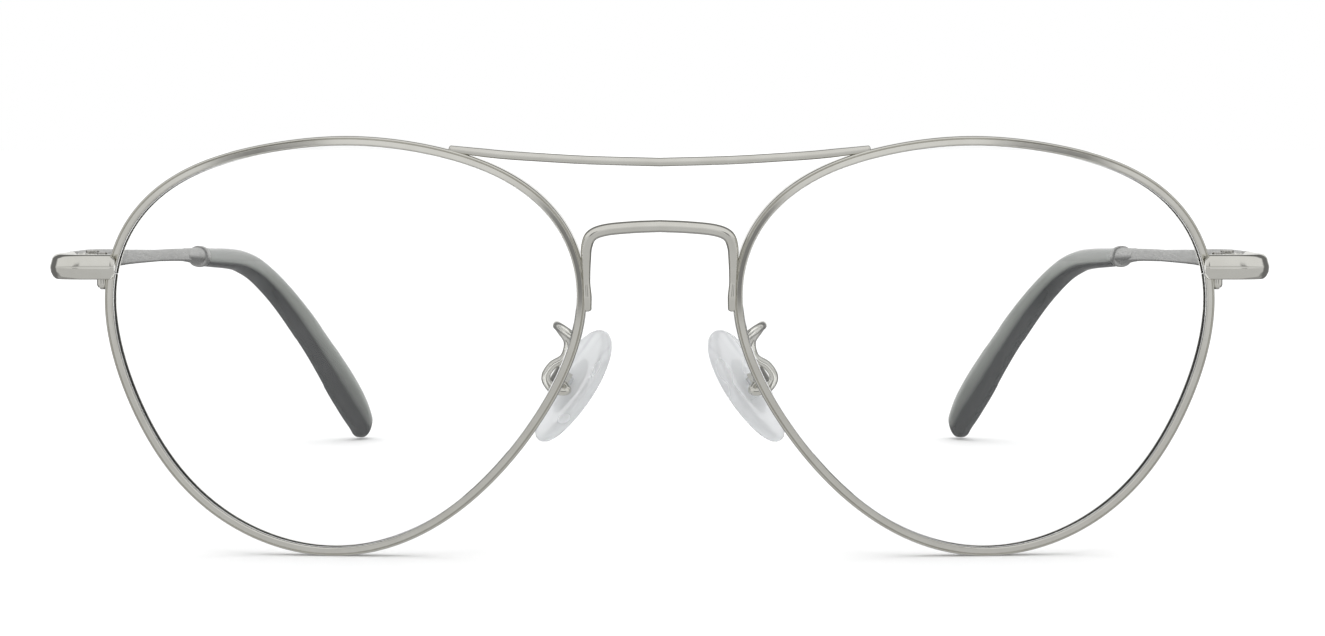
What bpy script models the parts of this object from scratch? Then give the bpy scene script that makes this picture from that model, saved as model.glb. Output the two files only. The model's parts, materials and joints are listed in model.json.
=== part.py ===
"""Round wire eyeglasses: a wire front with a brow bar, and two temples that fold on barrel hinges.

+X is the wearer's left, +Y runs back along the temples and +Z is up. The open frame stands on the
bottoms of its rims and the ends of its temple tips. Lengths are in millimetres, and Blender gets metres.
Each paired piece is modelled on the wearer's left and reflected to the right.
"""

import math

import bmesh
import bpy
from mathutils import Matrix, Vector

MM = 0.001

# The eye shape: the rim wire's radius from the eye's centre every 30 degrees, from the temple side upwards.
EYE_RADII = (27.3, 28.8, 25.4, 23.8, 25.5, 28.6, 26.3, 23.0, 22.8, 24.1, 24.9, 25.4)
EYE_POINTS = 48
EYE_X = 36.2
EYE_Y = 1.8
EYE_Z = 24.6
BASE_CURVE = 110.0
RIM_SAG = 2.76
FRONT_LEAN = math.radians(4.0)
FRONT_WRAP = math.radians(3.5)

# Rim wire and lens edge.
RIM_HALF_WIDTH = 0.55
RIM_HALF_DEPTH = 1.05
GROOVE_BOTTOM = 0.15
GROOVE_HALF_WIDTH = 0.5
LENS_HALF_THICKNESS = 0.95
LENS_GAP = 0.1
BEVEL_HALF_WIDTH = 0.4
BEVEL_TIP_INSET = 0.28
SPLIT_ANGLE = math.radians(16.5)
SPLIT_GAP = 0.3

# Wires of the front. The brow bar thins out where it lies on the rims.
BROW_RADIUS = 0.5
BROW_END_X = 23.3
BROW_END_SHARE = 0.5
BRIDGE_RADIUS = 0.68
BRIDGE_FOOT_SHARE = 0.6
PAD_ARM_RADIUS = 0.52

# Rim lock beside the rim's split, and the end piece in front of it.
LOCK_X = 65.2
LOCK_Y = 3.85
LOCK_RADIUS = 0.85
LOCK_BORE = 0.48
LOCK_SPLIT_Z = 33.1
LOCK_SPLIT_HALF = 0.2
END_Y = 1.85
END_Z = 33.65
END_HALF_HEIGHT = 1.5
END_BACK = 0.65
END_BACK_HALF_HEIGHT = 1.2
END_CROWN = 0.7
END_SHOULDER = -0.3

# Hinge: the axis is vertical, and a temple leans inwards from it.
HINGE_X = 67.2
HINGE_Y = 11.0
HINGE_Z = 33.65
TEMPLE_INWARD = math.radians(5.1)
BARREL_RADIUS = 1.15
BARREL_BORE = 0.56
BARREL_LEVELS = ((-1.35, -0.5), (-0.4, 0.4), (0.5, 1.25))
KNUCKLE_ARM = (0.4, 1.6)
LEAF_INNER = 1.1
LEAF_OUTER = 1.7
LEAF_START = 1.3
LEAF_LENGTH = 5.2
HINGE_GAP = 0.1

# Temple, in the hinge's frame: x outwards, y along the bar. Half sizes are (distance along, half size).
BAR_INNER = 1.8
BAR_OUTER = 3.1
BAR_CHAMFER = 0.25
BAR_HALF_HEIGHTS = ((0, 1.42), (8, 1.35), (24, 0.93), (40, 0.75), (55, 0.85))
BAR_END = 55.2
CORE_RADIUS = 0.62
CORE_END = 128.0
FERRULE_END = 64.6
FERRULE_CLEARANCE = 0.06
TIP_CLEARANCE = 0.08
TIP_HALF_SIDES = ((64.6, 1.2), (85, 1.38), (100, 1.5), (118, 1.55), (134, 1.7), (139, 1.6))
TIP_HALF_HEIGHTS = ((64.6, 1.27), (85, 1.5), (97, 1.8), (106, 2.05), (118, 2.52), (129, 3.05), (139, 2.8))

# Nose pad, in the frame of its screw: x along the screw, y up the pad and z away from the nose.
PAD_TILT = math.radians(31.7)
PAD_SPLAY = math.radians(30.0)
PAD_PIVOT = (11.7, 9.7, 20.3)
PAD_HALF_LENGTH = 7.6
PAD_HALF_WIDTH = 4.0
PAD_CENTRE_Y = -0.3
PAD_POINTS = 24
PAD_SCREW_BORE = 0.38
SCREW_SIDES = 16
THROUGH_ALL = 3.0


def mm(x, y, z):
    """A point given in millimetres, as Blender's metres."""
    return Vector((x, y, z)) * MM


def clear_scene():
    for obj in list(bpy.data.objects):
        bpy.data.objects.remove(obj, do_unlink=True)


def make_collection(name):
    collection = bpy.data.collections.new(name)
    bpy.context.scene.collection.children.link(collection)
    return collection


def make_material(name, colour, roughness, metallic, alpha=1.0):
    material = bpy.data.materials.new(name)
    material.use_nodes = True
    shader = material.node_tree.nodes["Principled BSDF"]
    shader.inputs["Base Color"].default_value = (*colour, 1.0)
    shader.inputs["Roughness"].default_value = roughness
    shader.inputs["Metallic"].default_value = metallic
    shader.inputs["Alpha"].default_value = alpha
    return material


clear_scene()
GLASSES = make_collection("eyeglasses")
CUTTERS = make_collection("cutters")
METAL = make_material("polished_metal", (0.62, 0.61, 0.57), 0.18, 1.0)
STEEL = make_material("screw_steel", (0.55, 0.55, 0.54), 0.3, 1.0)
LENS = make_material("clear_lens", (0.95, 0.97, 0.97), 0.03, 0.0, 0.12)
TIP = make_material("dark_tip", (0.03, 0.035, 0.035), 0.2, 0.0)
SILICONE = make_material("clear_silicone", (0.85, 0.88, 0.9), 0.35, 0.0, 0.6)


def add_empty(name, location=(0, 0, 0), rotation=(0, 0, 0), parent=None, order="XYZ"):
    empty = bpy.data.objects.new(name, None)
    empty.empty_display_size = 5 * MM
    empty.location = mm(*location)
    empty.rotation_mode = order
    empty.rotation_euler = rotation
    empty.parent = parent
    GLASSES.objects.link(empty)
    return empty


def add_paired_empties(name, location, rotation, parent, order="XYZ"):
    """One empty on each side, the right one a reflection of the left."""
    pair = {}
    for side, sign in (("left", 1), ("right", -1)):
        place = (sign * location[0], location[1], location[2])
        turn = (rotation[0], sign * rotation[1], sign * rotation[2])
        pair[side] = add_empty(f"{name}_{side}", place, turn, parent, order)
    return pair


ROOT = add_empty("glasses")
FRONT = add_empty("front_frame", (0, EYE_Y, EYE_Z), (FRONT_LEAN, 0, 0), ROOT)
EYE = add_paired_empties("eye", (EYE_X, 0, 0), (math.radians(90), 0, FRONT_WRAP), FRONT)
SEAT = add_paired_empties("hinge_seat", (HINGE_X, HINGE_Y, HINGE_Z), (0, 0, TEMPLE_INWARD), ROOT)
HINGE = add_paired_empties("hinge_axis", (HINGE_X, HINGE_Y, HINGE_Z), (0, 0, TEMPLE_INWARD), ROOT)
PAD_TURN = (math.radians(90), -PAD_TILT, math.radians(90) - PAD_SPLAY)
PAD_SEAT = add_paired_empties("pad_seat", PAD_PIVOT, PAD_TURN, ROOT, "XZY")
PAD_AXIS = add_paired_empties("pad_axis", PAD_PIVOT, PAD_TURN, ROOT, "XZY")


# --- Building blocks ---


def add_object(name, data, material, parent=None, collection=GLASSES):
    obj = bpy.data.objects.new(name, data)
    obj.data.materials.clear()
    obj.data.materials.append(material)
    obj.parent = parent
    collection.objects.link(obj)
    return obj


def mesh_from(name, fill):
    """A mesh that the function fill(bm) has filled, with its faces turned outwards."""
    bm = bmesh.new()
    fill(bm)
    bmesh.ops.recalc_face_normals(bm, faces=bm.faces)
    mesh = bpy.data.meshes.new(name)
    bm.to_mesh(mesh)
    bm.free()
    return mesh


def smooth(obj, angle=40):
    obj.data.shade_smooth()
    obj.data.set_sharp_from_angle(angle=math.radians(angle))
    return obj


def loft(name, rings, material, parent, ends="flat"):
    """A skin over rings of equal count. Its ends are "flat", "fan" out from a middle point, or "meet"."""

    def fill(bm):
        rows = [[bm.verts.new(mm(*point)) for point in ring] for ring in rings]
        following = rows[1:] + rows[:1] if ends == "meet" else rows[1:]
        for near, far in zip(rows, following):
            for a, b, c, d in zip(near, near[1:] + near[:1], far[1:] + far[:1], far):
                bm.faces.new((a, b, c, d))
        if ends != "meet":
            caps = [bm.faces.new(rows[0]), bm.faces.new(rows[-1])]
            if ends == "fan":
                bmesh.ops.poke(bm, faces=caps)

    return smooth(add_object(name, mesh_from(name, fill), material, parent))


def through(points, steps):
    """A Catmull-Rom curve through the points, with this many steps between neighbours."""
    ends = [2 * Vector(points[0]) - Vector(points[1]), 2 * Vector(points[-1]) - Vector(points[-2])]
    knots = [ends[0], *map(Vector, points), ends[1]]
    path = []
    for a, b, c, d in zip(knots, knots[1:], knots[2:], knots[3:]):
        for step in range(steps):
            t = step / steps
            bend = (2 * a - 5 * b + 4 * c - d) * t**2 + (3 * b - a - 3 * c + d) * t**3
            path.append(b + ((c - a) * t + bend) / 2)
    return path + [knots[-2]]


def add_curve(name, points, cyclic=False, dimensions="3D"):
    curve = bpy.data.curves.new(name, "CURVE")
    curve.dimensions = dimensions
    curve.use_fill_caps = not cyclic
    spline = curve.splines.new("POLY")
    spline.points.add(len(points) - 1)
    for knot, point in zip(spline.points, points):
        knot.co = (*mm(*point), 1)
    spline.use_cyclic_u = cyclic
    spline.use_smooth = True
    return curve


def add_wire(name, points, radius, parent, taper=None):
    """A round wire; taper gives the share of its radius at each point."""
    curve = add_curve(name, points)
    curve.bevel_depth = radius * MM
    curve.bevel_resolution = 2
    for knot, share in zip(curve.splines[0].points, taper or ()):
        knot.radius = share
    return add_object(name, curve, METAL, parent)


def add_profile(name, outline):
    """A closed cross-section for a curve's bevel; it stays out of the model."""
    curve = add_curve(name, [(x, y, 0) for x, y in outline], cyclic=True, dimensions="2D")
    curve.fill_mode = "NONE"
    obj = bpy.data.objects.new(name, curve)
    CUTTERS.objects.link(obj)
    obj.hide_render = True
    obj.display_type = "WIRE"
    return obj


def to_mesh(obj):
    """The same object with its curve or modifiers made into a mesh, and its caps welded on."""
    bpy.context.view_layer.update()
    evaluated = obj.evaluated_get(bpy.context.evaluated_depsgraph_get())
    mesh = bpy.data.meshes.new_from_object(evaluated)
    bm = bmesh.new()
    bm.from_mesh(mesh)
    bmesh.ops.remove_doubles(bm, verts=bm.verts, dist=0.0005 * MM)
    bmesh.ops.recalc_face_normals(bm, faces=bm.faces)
    bm.to_mesh(mesh)
    bm.free()
    name, material, parent, collection = obj.name, obj.data.materials[0], obj.parent, obj.users_collection[0]
    bpy.data.objects.remove(obj, do_unlink=True)
    mesh.name = name
    return add_object(name, mesh, material, parent, collection)


def add_box(name, low, high, material=METAL, parent=None, collection=GLASSES):
    """A box between two corners."""

    def fill(bm):
        bmesh.ops.create_cube(bm, size=1.0)
        size = [b - a for a, b in zip(low, high)]
        middle = [(a + b) / 2 for a, b in zip(low, high)]
        bmesh.ops.scale(bm, vec=mm(*size), verts=bm.verts)
        bmesh.ops.translate(bm, vec=mm(*middle), verts=bm.verts)

    return add_object(name, mesh_from(name, fill), material, parent, collection)


def add_turned(name, outline, centre, axis, parent, material=METAL, collection=GLASSES):
    """A turned piece: outline gives (radius, height) from the bottom up, and the axis is "X" or "Z"."""
    profile = bpy.data.meshes.new(name)
    points = [mm(radius, 0, height) for radius, height in reversed(outline)]
    profile.from_pydata(points, [(i, i + 1) for i in range(len(points) - 1)], [])
    obj = add_object(name, profile, material, parent, collection)
    screw = obj.modifiers.new("turned", "SCREW")
    screw.steps = SCREW_SIDES
    screw.render_steps = SCREW_SIDES
    screw.use_merge_vertices = True
    screw.merge_threshold = 0.001 * MM
    obj = to_mesh(obj)
    turn = {"X": Matrix.Rotation(math.pi / 2, 4, "Y"), "Z": Matrix.Identity(4)}
    obj.data.transform(Matrix.Translation(mm(*centre)) @ turn[axis])
    return smooth(obj)


def add_rod(name, radius, low, high, parent=None):
    """A plain cylinder that stands along Z, between two heights."""
    outline = ((0, low), (radius, low), (radius, high), (0, high))
    return add_turned(name, outline, (0, 0, 0), "Z", parent)


def add_drill(name, radius, centre=(0, 0, 0), axis="Z"):
    """A cutter for a round hole right through a small piece."""
    outline = ((0, -THROUGH_ALL), (radius, -THROUGH_ALL), (radius, THROUGH_ALL), (0, THROUGH_ALL))
    return add_turned(name, outline, centre, axis, None, collection=CUTTERS)


def boolean(obj, others, operation):
    """Cuts the other objects away or joins them on. The result is one mesh."""
    for other in others:
        other.parent = obj.parent
        modifier = obj.modifiers.new(other.name, "BOOLEAN")
        modifier.operation = operation
        modifier.solver = "EXACT"
        modifier.object = other
    result = to_mesh(obj)
    for other in others:
        bpy.data.objects.remove(other, do_unlink=True)
    return smooth(result)


def cut(obj, *cutters):
    return boolean(obj, cutters, "DIFFERENCE")


def join(obj, *others):
    return boolean(obj, others, "UNION")


def reflect(obj):
    """The wearer's right copy of a left piece, on the matching right parent."""
    name = obj.name.replace("_left", "_right")
    parent = bpy.data.objects[obj.parent.name.replace("_left", "_right")]
    bpy.context.view_layer.update()
    evaluated = obj.evaluated_get(bpy.context.evaluated_depsgraph_get())
    mesh = bpy.data.meshes.new_from_object(evaluated)
    mesh.transform(Matrix.Scale(-1, 4, (1, 0, 0)))
    mesh.flip_normals()
    mesh.name = name
    return add_object(name, mesh, obj.data.materials[0], parent)


# --- Rims and lenses ---


def eye_radius(angle):
    """The rim wire's radius: the trigonometric curve through EYE_RADII."""
    count = len(EYE_RADII)
    total = 0.0
    for index, radius in enumerate(EYE_RADII):
        offset = angle - math.tau * index / count
        waves = sum(2 * math.cos(k * offset) for k in range(1, count // 2))
        total += radius * (1 + waves + math.cos(count / 2 * offset)) / count
    return total


def sag(x, y):
    """How far the base curve has fallen back at a point of the eye plane."""
    return BASE_CURVE - math.sqrt(BASE_CURVE**2 - x * x - y * y) - RIM_SAG


def eye_ring(inset, forward, share=1.0):
    """A ring inside the rim wire's line, in the eye's frame: x outwards, y up and z forwards."""
    ring = []
    for i in range(EYE_POINTS):
        angle = math.tau * i / EYE_POINTS
        radius = (eye_radius(angle) - inset) * share
        x, y = radius * math.cos(angle), radius * math.sin(angle)
        ring.append((x, y, forward - sag(x, y)))
    return ring


def make_rim():
    """The grooved wire, bent onto the base curve and split at the rim lock."""
    depth, width = RIM_HALF_DEPTH, RIM_HALF_WIDTH
    outside = [(-0.55 * width, -depth), (-width, -0.7 * depth), (-width, 0.7 * depth), (-0.55 * width, depth)]
    inside = [(0.64 * width, depth), (width, 0.85 * depth), (width, GROOVE_HALF_WIDTH)]
    mirrored = [(x, -y) for x, y in reversed(inside)]
    profile = add_profile("rim_section", [*outside, *inside, (GROOVE_BOTTOM, 0), *mirrored])
    flat = [(x, y, 0) for x, y, _ in eye_ring(0, 0)]
    curve = add_curve("rim_left", flat, cyclic=True, dimensions="2D")
    curve.bevel_mode = "OBJECT"
    curve.bevel_object = profile
    curve.fill_mode = "NONE"
    rim = to_mesh(add_object("rim_left", curve, METAL, EYE["left"]))
    for vertex in rim.data.vertices:
        vertex.co.z -= sag(vertex.co.x / MM, vertex.co.y / MM) * MM
    slit = add_box("rim_split", (24, -SPLIT_GAP / 2, -4), (33, SPLIT_GAP / 2, 4), collection=CUTTERS)
    slit.data.transform(Matrix.Rotation(SPLIT_ANGLE, 4, "Z"))
    reflect(cut(rim, slit))


def make_lens():
    """A meniscus disc with a narrow bevel that sits in the rim's groove."""
    edge = RIM_HALF_WIDTH + LENS_GAP
    half, bevel = LENS_HALF_THICKNESS, BEVEL_HALF_WIDTH
    face = [eye_ring(edge, half, share) for share in (0.35, 0.7)]
    rings = face + [eye_ring(edge, half), eye_ring(edge, bevel), eye_ring(BEVEL_TIP_INSET, 0)]
    rings += [eye_ring(edge, -bevel), eye_ring(edge, -half)]
    rings += [eye_ring(edge, -half, share) for share in (0.7, 0.35)]
    reflect(loft("lens_left", rings, LENS, EYE["left"], ends="fan"))


# --- Brow bar and bridge, in the front's frame: y back and z up from the eye line ---


def mirrored_path(half, steps):
    """A smooth path across the nose from its left half, which starts at the middle."""
    left = through(half, steps)
    return [Vector((-p.x, p.y, p.z)) for p in reversed(left[1:])] + left


def tapered(path, knots):
    """Radius shares at each point, from (distance from the middle, share) knots."""
    shares = []
    for point in path:
        x = abs(point.x)
        for (x0, s0), (x1, s1) in zip(knots, knots[1:]):
            if x <= x1 or (x1, s1) == knots[-1]:
                t = min(max((x - x0) / (x1 - x0), 0), 1)
                shares.append(s0 + (s1 - s0) * t)
                break
    return shares


def make_brow_bar():
    middle = [(0, -1.4, 21.36), (8, -1.35, 21.58), (14.3, -1.2, 21.93)]
    end = [(17.7, -1.1, 22.16), (20.5, -1.0, 22.47), (BROW_END_X, -0.9, 23.0)]
    path = mirrored_path(middle + end, 3)
    shares = tapered(path, ((0, 1), (18, 1), (BROW_END_X, BROW_END_SHARE)))
    add_wire("brow_bar", path, BROW_RADIUS, FRONT, shares)


def make_bridge():
    """A flat arch whose legs run down along the insides of the rims and thin out at their feet."""
    crown = [(0, -2.0, 14.08), (3.2, -1.95, 13.94), (6.2, -1.85, 13.62)]
    corner = [(7.8, -1.75, 12.98), (8.36, -1.6, 11.75)]
    leg = [(8.3, -1.48, 10.2), (8.1, -1.35, 8.6), (7.97, -1.28, 7.2), (7.95, -1.25, 5.75), (7.93, -1.2, 4.3)]
    path = mirrored_path(crown + corner + leg, 3)
    low, high = 8.6, 12.9
    thinned = 1 - BRIDGE_FOOT_SHARE
    shares = [BRIDGE_FOOT_SHARE + thinned * min(max((p.z - low) / (high - low), 0), 1) for p in path]
    add_wire("bridge", path, BRIDGE_RADIUS, FRONT, shares)


# --- Rim locks and end pieces ---


def make_rim_lock():
    """Two barrels beside the rim's split, drawn together by a screw."""
    centre = (LOCK_X, LOCK_Y, LOCK_SPLIT_Z)
    gap, wall = LOCK_SPLIT_HALF, LOCK_RADIUS
    lower = ((0, -gap - 1.7), (0.7 * wall, -gap - 1.7), (wall, -gap - 1.3), (wall, -gap), (0, -gap))
    upper = ((0, gap), (wall, gap), (wall, gap + 1.6), (0, gap + 1.6))
    for name, outline in (("rim_lock_lower_left", lower), ("rim_lock_upper_left", upper)):
        barrel = add_turned(name, outline, centre, "Z", ROOT)
        reflect(cut(barrel, add_drill("lock_bore", LOCK_BORE, centre)))
    tip, seat = -gap - 2.0, gap + 1.7
    shank = ((0, tip), (0.3, tip), (0.42, tip + 0.2), (0.42, seat))
    head = ((0.75, seat), (0.7, seat + 0.3), (0, seat + 0.35))
    reflect(add_turned("rim_lock_screw_left", shank + head, centre, "Z", ROOT, STEEL))


def end_section():
    """A half-round outline with a shallow back, crowned towards +X."""
    bulge = END_CROWN - END_SHOULDER
    angles = [math.pi * (i / 8 - 0.5) for i in range(9)]
    arc = [(END_SHOULDER + bulge * math.cos(a), END_HALF_HEIGHT * math.sin(a)) for a in angles]
    return [(-END_BACK, -END_BACK_HALF_HEIGHT), *arc, (-END_BACK, END_BACK_HALF_HEIGHT)]


def make_end_piece():
    """A half-round bar from the rim's front, bent back to the hinge."""
    front = [(63.5, END_Y), (65.6, END_Y), (67.6, END_Y + 0.05), (69.2, 2.5), (70.1, 3.7), (70.25, 5.0)]
    turn = Matrix.Rotation(TEMPLE_INWARD, 4, "Z")
    hinge = Vector((HINGE_X, HINGE_Y, END_Z))
    middle = (BAR_INNER + BAR_OUTER) / 2
    rear = [hinge + turn @ Vector((middle, y, 0)) for y in (-4.6, -2.4, -HINGE_GAP)]
    path = through([(x, y, END_Z) for x, y in front], 2)[:-1] + rear
    curve = add_curve("end_piece_left", path)
    curve.twist_mode = "Z_UP"
    curve.bevel_mode = "OBJECT"
    curve.bevel_object = add_profile("end_piece_section", end_section())
    reflect(smooth(to_mesh(add_object("end_piece_left", curve, METAL, ROOT))))


# --- Hinges, in the hinge's frame ---


def add_knuckle(name, level, sign, parent):
    """One knuckle with the arm that carries it from its leaf."""
    low, high = level
    y = sorted((0, sign * (LEAF_START + 0.2)))
    knuckle = add_rod(name, BARREL_RADIUS, low, high, parent)
    arm = add_box(f"{name}_arm", (KNUCKLE_ARM[0], y[0], low), (KNUCKLE_ARM[1], y[1], high), parent=parent)
    return join(knuckle, arm)


def make_leaf(name, levels, sign, parent):
    """A leaf with its knuckles, drilled for the hinge screw; sign is -1 in front of the axis and 1 behind it."""
    y = sorted((sign * LEAF_START, sign * LEAF_LENGTH))
    low, high = BARREL_LEVELS[0][0], BARREL_LEVELS[-1][1]
    leaf = add_box(name, (LEAF_INNER, y[0], low), (LEAF_OUTER, y[1], high), parent=parent)
    knuckles = [add_knuckle(f"{name}_knuckle_{i}", level, sign, parent) for i, level in enumerate(levels)]
    return cut(join(leaf, *knuckles), add_drill("hinge_bore", BARREL_BORE))


def make_hinge():
    bottom, middle, top = BARREL_LEVELS
    reflect(make_leaf("front_hinge_left", (bottom, top), -1, SEAT["left"]))
    reflect(make_leaf("temple_hinge_left", (middle,), 1, HINGE["left"]))
    seat = top[1] + 0.05
    shank = ((0, bottom[0]), (0.5, bottom[0]), (0.5, seat))
    head = ((0.85, seat), (0.85, seat + 0.15), (0.6, seat + 0.3), (0, seat + 0.3))
    reflect(add_turned("hinge_screw_left", shank + head, (0, 0, 0), "Z", SEAT["left"], STEEL))


# --- Temples, in the hinge's frame ---


def temple_line():
    """The temple's centre line, from the hinge to the end of its tip."""
    x = (BAR_INNER + BAR_OUTER) / 2
    bar = [(x, 0, 0), (x, 12, 0), (x, 24, -0.25), (x, 40, -0.75), (x, 55, -1.3), (x, 68, -2.2)]
    bend = [(x, 80, -2.9), (2.35, 88, -3.7), (1.6, 96, -5.6), (-0.2, 104, -9.7)]
    tip = [(-2.65, 111.5, -15.6), (-5.1, 119, -22.4), (-7.4, 126.3, -29.5), (-8.0, 129.6, -32.9)]
    return through(bar + bend + tip, 4)


def place_on(path):
    """For each point of the path: its distance along, the point, and its side and height directions."""
    stations = []
    travelled = 0.0
    for i, point in enumerate(path):
        ahead = path[min(i + 1, len(path) - 1)] - path[max(i - 1, 0)]
        side = ahead.cross(Vector((0, 0, 1))).normalized()
        height = side.cross(ahead).normalized()
        if i:
            travelled += (point - path[i - 1]).length
        stations.append((travelled, point, side, height))
    return stations


def between(knots, value):
    """The value read off a line through (place, value) knots."""
    for (x0, y0), (x1, y1) in zip(knots, knots[1:]):
        if value <= x1:
            return y0 + (y1 - y0) * max(value - x0, 0) / (x1 - x0)
    return knots[-1][1]


def oval(station, half_side, half_height, count=12):
    _, point, side, height = station
    angles = [math.tau * (i + 0.5) / count for i in range(count)]
    return [point + side * half_side * math.cos(a) + height * half_height * math.sin(a) for a in angles]


def bar_ring(point, half_height):
    """A chamfered oblong, flat on its two sides, with as many points as an oval."""
    half_side = (BAR_OUTER - BAR_INNER) / 2
    straight = half_height - BAR_CHAMFER
    corner = [(half_side, straight / 2), (half_side, straight), (half_side - BAR_CHAMFER, half_height)]
    upper = corner + [(-x, z) for x, z in reversed(corner)]
    ring = upper + [(-x, -z) for x, z in upper]
    return [point + Vector((x, 0, z)) for x, z in ring]


def point_at(stations, distance):
    """A station at this distance along the path."""
    for near, far in zip(stations, stations[1:]):
        if far[0] >= distance:
            t = (distance - near[0]) / (far[0] - near[0])
            return (distance, near[1].lerp(far[1], t), near[2].lerp(far[2], t), near[3].lerp(far[3], t))
    return stations[-1]


def make_temple():
    """The bar, drawn down behind its ferrule to the core wire that runs inside the tip."""
    stations = place_on(temple_line())
    start = stations[0][1] + Vector((0, HINGE_GAP, 0))
    rings = [bar_ring(start, BAR_HALF_HEIGHTS[0][1])]
    for distance, point, _, _ in stations[1:]:
        if distance < BAR_END:
            rings.append(bar_ring(point, between(BAR_HALF_HEIGHTS, distance)))
    shoulder = point_at(stations, BAR_END)
    rings.append(bar_ring(shoulder[1], BAR_HALF_HEIGHTS[-1][1]))
    core = [shoulder] + [s for s in stations if BAR_END + 1 < s[0] < CORE_END]
    rings += [oval(station, CORE_RADIUS, CORE_RADIUS) for station in core]
    reflect(loft("temple_left", rings, METAL, HINGE["left"]))


def make_ferrule():
    """A collar that flares from the bar to the tip, with the core wire through it."""
    stations = place_on(temple_line())
    flare = ((55.4, 0.7, 0.9), (58.0, 0.85, 0.98), (61.0, 1.1, 1.15), (62.4, 1.25, 1.27))
    bead = ((62.8, 1.42, 1.45), (64.0, 1.42, 1.45), (64.4, 1.3, 1.35))
    shape = flare + bead
    bore = CORE_RADIUS + FERRULE_CLEARANCE
    outside = [oval(point_at(stations, d), side, height) for d, side, height in shape]
    inside = [oval(point_at(stations, d), bore, bore) for d, _, _ in reversed(shape)]
    reflect(loft("tip_ferrule_left", outside + inside, METAL, HINGE["left"], ends="meet"))


def make_tip():
    """The moulded sleeve: a flat-sided paddle with a round end, blind-bored for the core wire."""
    stations = place_on(temple_line())
    length = stations[-1][0]
    bore = CORE_RADIUS + TIP_CLEARANCE
    blind = CORE_END + 1.0
    mouth = point_at(stations, FERRULE_END)
    inner = [s for s in reversed(stations) if FERRULE_END + 1 < s[0] < blind - 1]
    rings = [oval(station, bore, bore) for station in (point_at(stations, blind), *inner, mouth)]
    outer = [(station, 1.0) for station in stations if FERRULE_END + 1 < station[0] < length - 3]
    rounding = ((2.2, 0.97), (1.3, 0.86), (0.5, 0.62), (0.0, 0.3))
    end = [(point_at(stations, length - back), share) for back, share in rounding]
    for station, share in [(mouth, 1.0), *outer, *end]:
        half_side = between(TIP_HALF_SIDES, station[0]) * share
        rings.append(oval(station, half_side, between(TIP_HALF_HEIGHTS, station[0]) * share))
    reflect(loft("temple_tip_left", rings, TIP, HINGE["left"]))


# --- Nose pads, in the frame of the pad screw ---


def make_pad_box():
    """A channel that holds the pad's tab on a cross screw."""
    box = add_box("pad_box_left", (-1.0, -1.0, -0.75), (1.0, 1.0, 0.85), parent=PAD_SEAT["left"])
    channel = add_box("pad_channel", (-0.7, -2, -2), (0.7, 2, 0.55), collection=CUTTERS)
    reflect(cut(box, channel, add_drill("pad_box_bore", PAD_SCREW_BORE, axis="X")))
    shank = ((0, -1.0), (0.33, -1.0), (0.33, 1.05))
    head = ((0.6, 1.05), (0.5, 1.35), (0, 1.35))
    reflect(add_turned("pad_screw_left", shank + head, (0, 0, 0), "X", PAD_SEAT["left"], STEEL))


def make_pad_arm():
    """A wire from the back of the rim, round a hairpin and a loop, to the pad box."""
    rise = [(10.1, 2.4, 25.6), (11.2, 2.8, 26.4), (11.95, 3.7, 26.8)]
    hairpin = [(12.0, 5.0, 26.75), (11.6, 6.1, 26.1), (10.85, 6.9, 24.7), (11.3, 7.2, 22.9)]
    loop = [(12.75, 7.4, 21.9), (13.5, 7.5, 20.55), (12.9, 7.6, 19.3), (11.7, 7.7, 18.75)]
    end = [(10.9, 7.95, 18.85), (11.2, 8.45, 19.3)]
    path = through(rise + hairpin + loop + end, 2)
    reflect(add_wire("pad_arm_left", path, PAD_ARM_RADIUS, ROOT))


def pad_ring(share, depth):
    ring = []
    for i in range(PAD_POINTS):
        angle = math.tau * i / PAD_POINTS
        length = PAD_HALF_LENGTH * math.sin(angle)
        width = PAD_HALF_WIDTH * math.cos(angle) * (1 + 0.12 * math.sin(angle))
        ring.append((width * share, PAD_CENTRE_Y + length * share, depth))
    return ring


def make_nose_pad():
    """A soft pad moulded round the plate of its insert."""
    shape = ((0.84, -1.25), (0.95, -1.45), (1.0, -1.95), (0.98, -2.5), (0.88, -3.0), (0.6, -3.35))
    rings = [pad_ring(share, depth) for share, depth in shape]
    pad = loft("nose_pad_left", rings, SILICONE, PAD_AXIS["left"], ends="fan")
    room = add_box("insert_room", (-1.75, -3.45, -2.7), (1.75, 2.65, -1.9), collection=CUTTERS)
    slot = add_box("stem_slot", (-0.62, -0.75, -2.2), (0.62, 0.75, -0.9), collection=CUTTERS)
    reflect(cut(pad, join(room, slot)))


def make_pad_insert():
    """The plate in the pad, the stem and the tab that turns on the pad screw."""
    parent = PAD_AXIS["left"]
    plate = add_box("pad_insert_left", (-1.6, -3.3, -2.55), (1.6, 2.5, -2.05), parent=parent)
    tab = add_box("pad_tab", (-0.5, -0.6, -2.3), (0.5, 0.6, 0.35), parent=parent)
    reflect(cut(join(plate, tab), add_drill("pad_tab_bore", PAD_SCREW_BORE, axis="X")))


def centre_on_floor():
    """Moves the whole assembly so that it stands on z = 0 with its box centred over the origin."""
    bpy.context.view_layer.update()
    graph = bpy.context.evaluated_depsgraph_get()
    corners = []
    for obj in GLASSES.objects:
        if obj.type == "EMPTY":
            continue
        evaluated = obj.evaluated_get(graph)
        mesh = evaluated.to_mesh()
        corners += [evaluated.matrix_world @ vertex.co for vertex in mesh.vertices]
        evaluated.to_mesh_clear()
    low = Vector([min(corner[axis] for corner in corners) for axis in range(3)])
    high = Vector([max(corner[axis] for corner in corners) for axis in range(3)])
    ROOT.location = (-(low.x + high.x) / 2, -(low.y + high.y) / 2, -low.z)


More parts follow.
